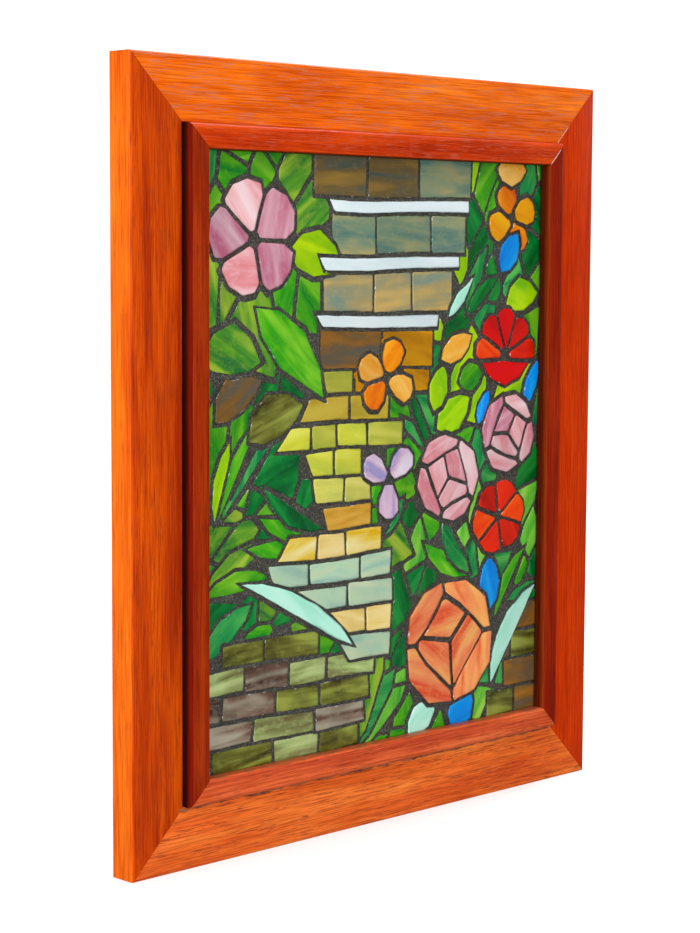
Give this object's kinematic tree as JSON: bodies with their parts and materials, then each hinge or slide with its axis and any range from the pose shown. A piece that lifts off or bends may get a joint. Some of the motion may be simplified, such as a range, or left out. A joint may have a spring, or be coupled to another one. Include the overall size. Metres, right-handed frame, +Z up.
{
  "type": "framed mosaic panel",
  "caption": "Framed stained-glass mosaic of a garden path with steps among flowers, with a mitred hardwood frame and raised inner moulding, to hang on a wall.",
  "frame": {"origin": "middle of the back face of the top rail, where the panel hangs", "axes": "+Y points to the wall and the picture faces -Y, +X is to the viewer's right, +Z is up"},
  "size_m": [0.43, 0.0275, 0.5],
  "materials": {
    "rail_wood": "red-orange stained open-pored hardwood under a satin varnish",
    "moulding_wood": "the same hardwood stained a darker red, satin",
    "backing_board": "plain unfinished board",
    "grout": "dark sanded cement grout, matt, holding the fused green and earth-toned glass",
    "pink_glass": "opalescent streaky pink stained glass, opaque, softly glossy",
    "rose_glass": "opalescent streaky rose stained glass, opaque, softly glossy",
    "red_glass": "opalescent streaky red stained glass, opaque, softly glossy",
    "crimson_glass": "opalescent streaky crimson stained glass, opaque, softly glossy",
    "orange_red_glass": "opalescent streaky orange red stained glass, opaque, softly glossy",
    "salmon_glass": "opalescent streaky salmon stained glass, opaque, softly glossy",
    "orange_glass": "opalescent streaky orange stained glass, opaque, softly glossy",
    "apricot_glass": "opalescent streaky apricot stained glass, opaque, softly glossy",
    "lilac_glass": "opalescent streaky lilac stained glass, opaque, softly glossy",
    "white_glass": "opalescent streaky white stained glass, opaque, softly glossy",
    "seafoam_glass": "opalescent streaky seafoam stained glass, opaque, softly glossy",
    "leaf_green_glass": "opalescent streaky leaf green stained glass, opaque, softly glossy",
    "deep_green_glass": "opalescent streaky deep green stained glass, opaque, softly glossy",
    "lime_glass": "opalescent streaky lime stained glass, opaque, softly glossy",
    "brick_sand_glass": "opalescent streaky brick sand stained glass, opaque, softly glossy",
    "slate_green_glass": "opalescent streaky slate green stained glass, opaque, softly glossy",
    "stone_olive_glass": "opalescent streaky stone olive stained glass, opaque, softly glossy",
    "blue_glass": "opalescent streaky blue stained glass, opaque, softly glossy",
    "amber_glass": "opalescent streaky amber stained glass, opaque, softly glossy"
  },
  "bodies": {
    "root": {"rail_top": "rail_wood", "moulding_top": "moulding_wood", "rail_bottom": "rail_wood", "moulding_bottom": "moulding_wood", "rail_left": "rail_wood", "moulding_left": "moulding_wood", "rail_right": "rail_wood", "moulding_right": "moulding_wood", "pink_blossom_petal_1": "pink_glass", "pink_blossom_petal_2": "rose_glass", "pink_blossom_petal_3": "pink_glass", "pink_blossom_petal_4": "rose_glass", "pink_blossom_petal_5": "pink_glass", "red_poppy_petal_1": "red_glass", "red_poppy_petal_2": "crimson_glass", "red_poppy_petal_3": "red_glass", "red_poppy_petal_4": "red_glass", "red_poppy_petal_5": "orange_red_glass", "red_poppy_petal_6": "red_glass", "pink_rose_petal_1": "rose_glass", "pink_rose_petal_2": "pink_glass", "pink_rose_petal_3": "rose_glass", "pink_rose_petal_4": "rose_glass", "pink_rose_petal_5": "pink_glass", "pink_rose_petal_6": "rose_glass", "pink_rose_petal_7": "rose_glass", "pale_rose_petal_1": "rose_glass", "pale_rose_petal_2": "rose_glass", "pale_rose_petal_3": "rose_glass", "pale_rose_petal_4": "rose_glass", "pale_rose_petal_5": "rose_glass", "pale_rose_petal_6": "rose_glass", "pale_rose_petal_7": "rose_glass", "red_blossom_petal_1": "orange_red_glass", "red_blossom_petal_2": "red_glass", "red_blossom_petal_3": "crimson_glass", "red_blossom_petal_4": "orange_red_glass", "red_blossom_petal_5": "red_glass", "red_blossom_petal_6": "crimson_glass", "salmon_rose_petal_1": "salmon_glass", "salmon_rose_petal_2": "salmon_glass", "salmon_rose_petal_3": "salmon_glass", "salmon_rose_petal_4": "salmon_glass", "salmon_rose_petal_5": "salmon_glass", "salmon_rose_petal_6": "salmon_glass", "salmon_rose_petal_7": "salmon_glass", "orange_blossom_petal_1": "orange_glass", "orange_blossom_petal_2": "apricot_glass", "orange_blossom_petal_3": "orange_glass", "orange_blossom_petal_4": "apricot_glass", "lilac_blossom_petal_1": "lilac_glass", "lilac_blossom_petal_2": "lilac_glass", "lilac_blossom_petal_3": "lilac_glass", "white_step_edge_1": "white_glass", "white_step_edge_2": "white_glass", "white_step_edge_3": "white_glass", "long_pale_blade": "seafoam_glass", "curved_pale_blade": "seafoam_glass", "backing_board": "backing_board", "grout_bed": "grout"}
  },
  "joints": []
}
